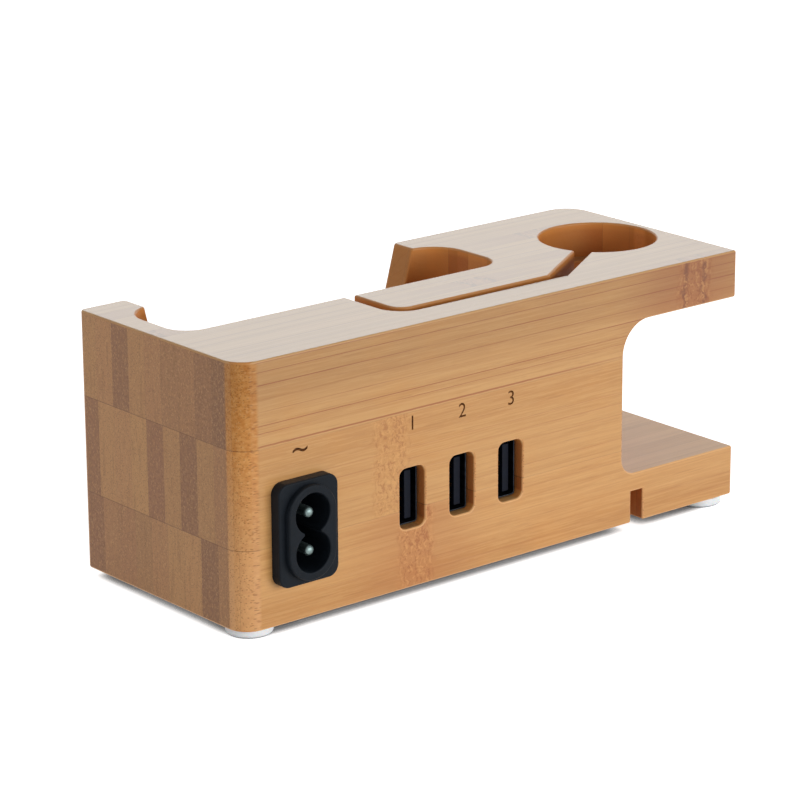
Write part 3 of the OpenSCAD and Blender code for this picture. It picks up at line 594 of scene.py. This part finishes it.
def turned(profile, low, high, axis=2):
    """Round body from (share of radius, share of height) points, filling a box along an axis."""
    body = bmesh.new()
    points = [body.verts.new((radius, 0, height)) for radius, height in profile]
    lines = [body.edges.new(pair) for pair in zip(points, points[1:])]
    bmesh.ops.spin(body, geom=points + lines, cent=(0, 0, 0), axis=(0, 0, 1), angle=math.tau,
                   steps=64, use_merge=True)
    bmesh.ops.remove_doubles(body, verts=body.verts, dist=0.0001)
    bmesh.ops.recalc_face_normals(body, faces=body.faces)
    size = high - low
    across = size[(axis + 1) % 3] / 2
    foot = (low + high) / 2
    foot[axis] = low[axis]
    upright = {0: Matrix.Rotation(math.pi / 2, 4, "Y"), 1: Matrix.Rotation(-math.pi / 2, 4, "X"),
               2: Matrix.Identity(4)}[axis]
    stretched = Matrix.Diagonal((across, across, size[axis], 1))
    body.transform(Matrix.Translation(foot) @ upright @ stretched)
    return body


rubber = surface("white foot rubber", (236, 242, 248), (246, 250, 254), 1.5, 0.05, (0.42, 0.58),
                 Specular_IOR_Level=0.4, Subsurface_Weight=0.15, Subsurface_Scale=1.0 * mm)
for node in ("foot_charger_rear", "foot_charger_front", "foot_watch_rear", "foot_watch_front"):
    shown(turned(foot_profile, *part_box(node)), node + "_pad", node, "silicone", rubber)


# Mains inlet: a black moulded flange with a raised collar round a figure-of-eight opening,
# pushed through the wood. The mould leaves soft edges and a faint satin.
collar_ease = 0.35 * mm
inlet_black = surface("black inlet plastic", (17, 22, 27), (24, 30, 37), 5.0, 0.02, (0.42, 0.56),
                      Specular_IOR_Level=0.10)


def is_collar_edge(edge):
    """Whether an edge of the inlet stands off the block's rear face."""
    return min(v.co.y for v in edge.verts) > rear_face + 0.5 * mm


housing = clean_copy("inlet_housing")
ease(housing, collar_ease, keep=is_collar_edge)
shown(housing, "inlet_housing_moulded", "inlet_housing", "inlet_plastic", inlet_black)


# Inlet pins: nickel-plated rods with a domed tip, and a flat solder tab behind the housing.
pin_d = 2.4 * mm
tab_size = (4.0 * mm, 4.0 * mm, 0.8 * mm)
tab_ease = 0.15 * mm
dome_share = 0.055
dome_angles = [math.radians(degrees) for degrees in range(0, 91, 15)]
dome = [(math.cos(a), 1 - dome_share * (1 - math.sin(a))) for a in dome_angles]
nickel = surface("nickel plating", (98, 114, 114), (132, 150, 148), 0.8, 0.01, (0.34, 0.48),
                 stretch=(1, 0.1, 1), Metallic=0.85)
for node in ("inlet_pin_upper", "inlet_pin_lower"):
    low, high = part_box(node)
    middle = (low + high) / 2
    rod_low = Vector((middle.x - pin_d / 2, low.y + tab_size[1], middle.z - pin_d / 2))
    rod_high = Vector((middle.x + pin_d / 2, high.y, middle.z + pin_d / 2))
    pin = turned([(0.0, 0.0), (1.0, 0.0)] + dome, rod_low, rod_high, axis=1)
    tab = bmesh.ops.create_cube(pin, size=1.0)["verts"]
    tab_place = Matrix.Translation((middle.x, low.y + tab_size[1] / 2, middle.z))
    bmesh.ops.transform(pin, matrix=tab_place @ Matrix.Diagonal((*tab_size, 1)), verts=tab)
    edges = list({edge for vert in tab for edge in vert.link_edges})
    bmesh.ops.bevel(pin, geom=edges, offset=tab_ease, offset_type="OFFSET", affect="EDGES",
                    segments=2, profile=0.5, material=-1)
    shown(pin, node + "_turned", node, "plated_pin", nickel)


# USB sockets: folded steel shells with sprung tongues pressed in from both broad walls, a
# black insulator with its tongue, and four gold-plated contacts. They stand on edge.
spring_path = ((2.2, 0.0), (4.4, 0.42), (6.4, 0.62), (7.6, 0.40))
spring_w = 1.7 * mm
spring_t = 0.22 * mm
spring_heights = (-2.9 * mm, 2.9 * mm)
shell_wall = 0.3 * mm
shell_ease = 0.08 * mm
insulator_ease = 0.12 * mm


def leaf_spring(shell, wall_x, inward, middle_z, mouth_y):
    """Tongue bent in from one wall of a socket's shell."""
    foot_z = middle_z - spring_w / 2
    row = [shell.verts.new((wall_x + inward * reach * mm, mouth_y - back * mm, foot_z))
           for back, reach in spring_path]
    edges = [shell.edges.new(pair) for pair in zip(row, row[1:])]
    wide = bmesh.ops.extrude_edge_only(shell, edges=edges)["geom"]
    moved = [part for part in wide if isinstance(part, bmesh.types.BMVert)]
    bmesh.ops.translate(shell, verts=moved, vec=(0, 0, spring_w))
    faces = [part for part in wide if isinstance(part, bmesh.types.BMFace)]
    bmesh.ops.recalc_face_normals(shell, faces=faces)
    bmesh.ops.solidify(shell, geom=faces, thickness=spring_t)


shell_steel = surface("tinned shell steel", (36, 40, 46), (58, 62, 68), 1.2, 0.01, (0.34, 0.50),
                      stretch=(1, 0.15, 1), Metallic=1.0)
tongue_black = surface("black insulator plastic", (12, 16, 24), (19, 25, 38), 4.0, 0.02,
                       (0.40, 0.55), Specular_IOR_Level=0.10)
gold = surface("gold plating", (196, 152, 74), (222, 184, 104), 1.5, 0.01, (0.22, 0.38),
               stretch=(1, 0.2, 1), Metallic=1.0)
for number in (1, 2, 3):
    node = f"usb_shell_{number}"
    low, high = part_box(node)
    shell = clean_copy(node)
    ease(shell, shell_ease, keep=lambda edge: on_plane(edge, 1, high.y), segments=2)
    for off_middle in spring_heights:
        height = (low.z + high.z) / 2 + off_middle
        leaf_spring(shell, low.x + shell_wall, 1, height, high.y)
        leaf_spring(shell, high.x - shell_wall, -1, height, high.y)
    shown(shell, node + "_folded", node, "socket_steel", shell_steel)

    node = f"usb_insulator_{number}"
    insulator = clean_copy(node)
    mouth_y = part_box(node)[1].y
    ease(insulator, insulator_ease, keep=lambda edge: on_plane(edge, 1, mouth_y), segments=2)
    shown(insulator, node + "_moulded", node, "socket_plastic", tongue_black)
    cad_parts[f"usb_contacts_{number}"].material_slots[0].material = gold


# Underside: a black moulded plate let into the wood, held by four countersunk wood screws and
# the three machine screws that carry the circuit board, over a sheet of insulating paper.
cover_ease = 0.2 * mm
cover_black = surface("spark-textured cover plastic", (26, 27, 29), (38, 39, 42), 2.6, 0.05,
                      (0.46, 0.62), Specular_IOR_Level=0.35)
zinc = surface("zinc-plated screw steel", (150, 152, 156), (186, 188, 192), 1.6, 0.015,
               (0.24, 0.42), Metallic=1.0)
paper = surface("insulating paper", (206, 200, 180), (232, 228, 212), 0.9, 0.03, (0.65, 0.85),
                stretch=(0.3, 1, 1))
cover = clean_copy("bottom_cover")
cover_under_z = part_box("bottom_cover")[0].z
ease(cover, cover_ease, keep=lambda edge: on_plane(edge, 2, cover_under_z))
shown(cover, "bottom_cover_moulded", "bottom_cover", "cover_plastic", cover_black)


def dressed(material, *nodes):
    """Gives CAD nodes, which keep their own meshes, a finished material."""
    for node in nodes:
        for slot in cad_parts[node].material_slots:
            slot.material = material


dressed(zinc, "cover_screws", "board_screws", "board_nuts")
dressed(paper, "insulating_sheet")


# Circuit board: glass-fibre laminate under green lacquer, with copper tracks and tinned pads,
# on nylon tubes. Two insulated wires bring the mains from the inlet.
track_pitch = 1.9 * mm
pad_pitch = 2.54 * mm


def off_middle_of_pitch(tree, place, pitch):
    """How far a place is from the middle of its pitch, in pitches and with its sign."""
    pitches = calc(tree, "DIVIDE", place, pitch / mm)
    return calc(tree, "SUBTRACT", calc(tree, "FRACT", pitches), 0.5)


def board_lacquer():
    """Green lacquer over woven glass, with paler tracks and bright pads on a square pitch."""
    made, tree, shader = finish("circuit board lacquer", Specular_IOR_Level=0.5)
    x, y, _ = xyz(tree, object_mm(tree))
    inputs = {"Vector": object_mm(tree, (0.22, 0.22, 0.0)), "Scale": 1.0}
    block = put(tree, "TexVoronoi", inputs, distance="CHEBYCHEV").outputs["Color"]
    lot = put(tree, "SeparateColor", {0: block}).outputs[0]
    lengthwise = calc(tree, "GREATER_THAN", lot, 0.5)
    across = put(tree, "Mix", {0: lengthwise, 2: x, 3: y}, data_type="FLOAT").outputs[0]
    off_track = calc(tree, "ABSOLUTE", off_middle_of_pitch(tree, across, track_pitch))
    track = fade(tree, off_track, 0.14, 0.18, 1.0, 0.0)
    off_pad = [off_middle_of_pitch(tree, place, pad_pitch) for place in (x, y)]
    ring = calc(tree, "SQRT", calc(tree, "ADD", *[product(tree, off, off) for off in off_pad]))
    pad = product(tree, fade(tree, ring, 0.20, 0.24, 1.0, 0.0), lengthwise)
    weave = noise(tree, object_mm(tree), 2.2)
    green = mix(tree, fade(tree, weave, 0.3, 0.7), srgb(20, 74, 40), srgb(30, 92, 50))
    colour = layered(tree, green, (track, 0.6, srgb(52, 124, 66)), (pad, 1.0, srgb(190, 190, 186)))
    tree.links.new(colour, shader.inputs["Base Color"])
    tree.links.new(pad, shader.inputs["Metallic"])
    tree.links.new(calc(tree, "MULTIPLY_ADD", weave, 0.15, 0.25), shader.inputs["Roughness"])
    relief(tree, shader, calc(tree, "MAXIMUM", track, pad), 0.5, 0.04)
    return made


nylon = surface("natural nylon", (222, 220, 210), (238, 236, 228), 1.2, 0.02, (0.4, 0.55),
                Subsurface_Weight=0.1, Subsurface_Scale=1.0 * mm)
wire_brown = surface("brown wire insulation", (88, 48, 26), (112, 64, 36), 1.4, 0.02, (0.35, 0.5))
wire_blue = surface("blue wire insulation", (34, 66, 128), (50, 86, 154), 1.4, 0.02, (0.35, 0.5))
dressed(board_lacquer(), "charger_board")
dressed(nylon, "board_spacers")
dressed(wire_brown, "inlet_wire_upper")
dressed(wire_blue, "inlet_wire_lower")


# Can capacitors: aluminium cans in a shrunk dark sleeve, which rolls over the top edge and
# leaves the bare disc showing. A groove near the foot grips the rubber plug.
disc_share = 1 - 0.035
can_profile = ((0.0, 0.0), (0.96, 0.0), (1.0, 0.02), (1.0, 0.085), (0.93, 0.10), (0.93, 0.125),
               (1.0, 0.145), (1.0, 0.955), (0.985, 0.985), (0.94, 1.0), (0.80, 1.0),
               (0.78, disc_share), (0.0, disc_share))
aluminium = surface("bare can aluminium", (176, 178, 180), (204, 206, 208), 1.8, 0.02,
                    (0.3, 0.45), Metallic=1.0)


def can_sleeve(name, middle, radius):
    """Shrunk sleeve with the pale stripe that marks the minus side."""
    made, tree, shader = finish(name, Specular_IOR_Level=0.5)
    x = xyz(tree, object_mm(tree))[0]
    side = calc(tree, "DIVIDE", calc(tree, "SUBTRACT", x, middle.x / mm), radius / mm)
    grain = noise(tree, object_mm(tree), 1.2)
    navy = mix(tree, fade(tree, grain, 0.3, 0.7), srgb(24, 30, 52), srgb(36, 44, 70))
    striped = mix(tree, fade(tree, side, 0.84, 0.87), navy, srgb(186, 190, 198))
    tree.links.new(striped, shader.inputs["Base Color"])
    tree.links.new(calc(tree, "MULTIPLY_ADD", grain, 0.12, 0.28), shader.inputs["Roughness"])
    relief(tree, shader, grain, 0.4, 0.04)
    return made


for node in ("bulk_capacitor_1", "bulk_capacitor_2", "output_capacitor_1", "output_capacitor_2",
             "output_capacitor_3"):
    low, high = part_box(node)
    sleeve = can_sleeve("sleeve, " + node.replace("_", " "), (low + high) / 2,
                        (high.x - low.x) / 2)
    can = turned(can_profile, low, high)
    disc_z = low.z + disc_share * (high.z - low.z)
    for face in can.faces:
        if abs(face.calc_center_median().z - disc_z) < 0.02 * mm:
            face.material_index = 1
    shown(can, node + "_can", node, "capacitor_sleeve", sleeve, aluminium)


# Transformer: a ferrite frame round a coil wrapped in yellow tape, whose foot is soldered to
# the board, with a blue disc capacitor beside it.
tape_turn = 2.6 * mm
core_ease = 0.25 * mm
disc_profile = ((0.0, 0.0), (0.70, 0.04), (0.90, 0.16), (0.98, 0.34), (1.0, 0.50),
                (0.98, 0.66), (0.90, 0.84), (0.70, 0.96), (0.0, 1.0))
ferrite = surface("sintered ferrite", (46, 47, 50), (64, 65, 69), 2.4, 0.06, (0.45, 0.65))
ceramic_blue = surface("blue ceramic coating", (34, 84, 160), (52, 108, 188), 1.4, 0.05,
                       (0.28, 0.42))


def wound(name, dark, light, turn, bump, **values):
    """Surface wound round with tape or wire, whose turns repeat upward."""
    made, tree, shader = finish(name, **values)
    z = xyz(tree, object_mm(tree))[2]
    turns = calc(tree, "ABSOLUTE", calc(tree, "SINE", product(tree, z, math.pi * mm / turn)))
    grain = noise(tree, object_mm(tree), 1.6)
    shade = calc(tree, "MULTIPLY_ADD", grain, 0.5, product(tree, turns, 0.5))
    colour = mix(tree, fade(tree, shade, 0.2, 0.8), srgb(*dark), srgb(*light))
    tree.links.new(colour, shader.inputs["Base Color"])
    tree.links.new(calc(tree, "MULTIPLY_ADD", grain, 0.15, 0.25), shader.inputs["Roughness"])
    relief(tree, shader, turns, 0.6, bump)
    return made


core = clean_copy("transformer_core")
ease(core, core_ease)
shown(core, "transformer_core_ferrite", "transformer_core", "ferrite", ferrite)
dressed(wound("yellow coil tape", (202, 164, 46), (236, 204, 88), tape_turn, 0.05),
        "transformer_winding")
shown(turned(disc_profile, *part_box("y_capacitor"), axis=0), "y_capacitor_disc", "y_capacitor",
      "disc_ceramic", ceramic_blue)


# Small parts on the board: a ceramic fuse with metal caps, moulded chips and rectifiers, and a
# choke of copper wire wound on a drum of ferrite.
fuse_cap = 1.8 * mm
chip_ease = 0.18 * mm
wire_turn = 0.5 * mm
choke_turns = 9
drum_flange = 0.14
drum_core = 0.84
wire_bulge = 0.035
drum_profile = [(0.0, 0.0), (0.95, 0.0), (1.0, 0.02), (1.0, 0.12), (0.97, drum_flange),
                (drum_core, drum_flange)]
drum_profile += [(drum_core + wire_bulge * (step % 2),
                  drum_flange + (1 - 2 * drum_flange) * step / (2 * choke_turns))
                 for step in range(1, 2 * choke_turns)]
drum_profile += [(drum_core, 1 - drum_flange), (0.97, 1 - drum_flange), (1.0, 0.88), (1.0, 0.98),
                 (0.95, 1.0), (0.0, 1.0)]


def fuse_ceramic():
    """White ceramic tube between two tinned caps."""
    made, tree, shader = finish("fuse ceramic and caps")
    low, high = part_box("fuse")
    y = xyz(tree, object_mm(tree))[1]
    bare_half = ((high.y - low.y) / 2 - fuse_cap) / mm
    from_middle = apart(tree, y, (low.y + high.y) / 2 / mm)
    capped = calc(tree, "GREATER_THAN", from_middle, bare_half - 0.02)
    grain = noise(tree, object_mm(tree), 1.5)
    body = mix(tree, fade(tree, grain, 0.3, 0.7), srgb(206, 196, 174), srgb(226, 218, 200))
    tree.links.new(mix(tree, capped, body, srgb(170, 172, 174)), shader.inputs["Base Color"])
    tree.links.new(capped, shader.inputs["Metallic"])
    tree.links.new(calc(tree, "MULTIPLY_ADD", grain, 0.2, 0.3), shader.inputs["Roughness"])
    relief(tree, shader, grain, 0.4, 0.02)
    return made


dressed(fuse_ceramic(), "fuse")
resin = surface("black chip resin", (24, 25, 27), (36, 37, 40), 3.5, 0.03, (0.5, 0.68),
                Specular_IOR_Level=0.3)
for node in ("bridge_rectifier", "controller_chip", "output_diode"):
    chip = clean_copy(node)
    ease(chip, chip_ease, segments=2)
    shown(chip, node + "_moulded", node, "chip_resin", resin)
copper = wound("enamelled copper wire", (126, 62, 28), (184, 104, 54), wire_turn, 0.05,
               Metallic=0.8)
low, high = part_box("output_choke")
choke = turned(drum_profile, low, high)
for face in choke.faces:
    share = (face.calc_center_median().z - low.z) / (high.z - low.z)
    if share < drum_flange - 0.001 or share > 1 - drum_flange + 0.001:
        face.material_index = 1
shown(choke, "output_choke_drum", "output_choke", "choke_copper", copper, ferrite)


# The camera stands where the photograph was taken from: behind the charger end, a little above.
# The floor is plain and white. A wide low lamp lights the rear face, a weaker one the end, and
# a long one stands behind the block, so that the lacquer of the top mirrors it at a slant.
eye = Vector((480.65, 571.31, 262.63)) * mm
looking_at = Vector((0.5, -8.0, 32.0)) * mm
camera_roll = math.radians(-0.33)
lens = 153.65
lamp_aim = Vector((0.0, 0.0, 30.0)) * mm
ambient = 0.22

camera = bpy.data.objects.new("camera", bpy.data.cameras.new("camera"))
bpy.context.scene.collection.objects.link(camera)
camera.data.lens = lens
camera.data.sensor_width = 36.0
camera.data.clip_start = 0.01


def facing(place, target):
    """Matrix that puts a camera or lamp at a place, looking at a target."""
    turn = (target - place).to_track_quat("-Z", "Y").to_matrix().to_4x4()
    return Matrix.Translation(place) @ turn


camera.matrix_world = facing(eye, looking_at) @ Matrix.Rotation(camera_roll, 4, "Z")
bpy.context.scene.camera = camera


def seen_rays(tree):
    """1 for rays from the camera, a mirror or clear glass, which see the plain backdrop."""
    path = put(tree, "LightPath").outputs
    seen = calc(tree, "MAXIMUM", path["Is Camera Ray"], path["Is Glossy Ray"])
    return calc(tree, "MAXIMUM", seen, path["Is Transmission Ray"])


def soft_lamp(name, width, height, power, place):
    """Wide area lamp, in metres and watts, that points at the middle of the block."""
    lamp = bpy.data.objects.new(name, bpy.data.lights.new(name, "AREA"))
    bpy.context.scene.collection.objects.link(lamp)
    lamp.data.shape = "RECTANGLE"
    lamp.data.size = width
    lamp.data.size_y = height
    lamp.data.energy = power
    lamp.matrix_world = facing(Vector(place), lamp_aim)


world = bpy.data.worlds.new("studio")
world.use_nodes = True
bpy.context.scene.world = world
tree = world.node_tree
sky = tree.nodes["Background"]
sky.inputs["Color"].default_value = (1.0, 1.0, 1.0, 1.0)
tree.links.new(fade(tree, seen_rays(tree), 0.0, 1.0, ambient, 1.0), sky.inputs["Strength"])

soft_lamp("key", 1.4, 0.5, 12.6, (-0.25, 1.3, 0.30))
soft_lamp("fill", 0.8, 0.8, 3.4, (1.35, -0.1, 0.42))
soft_lamp("rear", 1.3, 0.5, 3.3, (-0.72, -0.90, 0.60))

# The floor's shadow is a narrow dark line close to the block, as under a studio's white sweep: a
# painted shadow, its colour and glow darkened where ambient occlusion finds the block near
contact = 7.0 * mm
half_floor = 3.0
shadow_grey = (0.16, 0.16, 0.17, 1.0)
open_grey = (0.86, 0.86, 0.87, 1.0)
floor_mesh = bpy.data.meshes.new("floor")
sheet = bmesh.new()
bmesh.ops.create_grid(sheet, x_segments=1, y_segments=1, size=half_floor)
sheet.to_mesh(floor_mesh)
sheet.free()
floor = bpy.data.objects.new("floor", floor_mesh)
bpy.context.scene.collection.objects.link(floor)
sweep, tree, shader = finish("pale floor", Roughness=0.9, Specular_IOR_Level=0.0)
shader.inputs["Emission Color"].default_value = (1.0, 1.0, 1.0, 1.0)
# Painted shadow: occlusion greys the floor's colour and dims its glow
openness = put(tree, "AmbientOcclusion", {"Distance": contact}, samples=16).outputs["AO"]
open_share = fade(tree, openness, 0.03, 0.46)
tree.links.new(mix(tree, open_share, shadow_grey, open_grey), shader.inputs["Base Color"])
tree.links.new(product(tree, open_share, 0.9, seen_rays(tree)), shader.inputs["Emission Strength"])
floor_mesh.materials.append(sweep)

bpy.context.scene.view_settings.view_transform = "Standard"
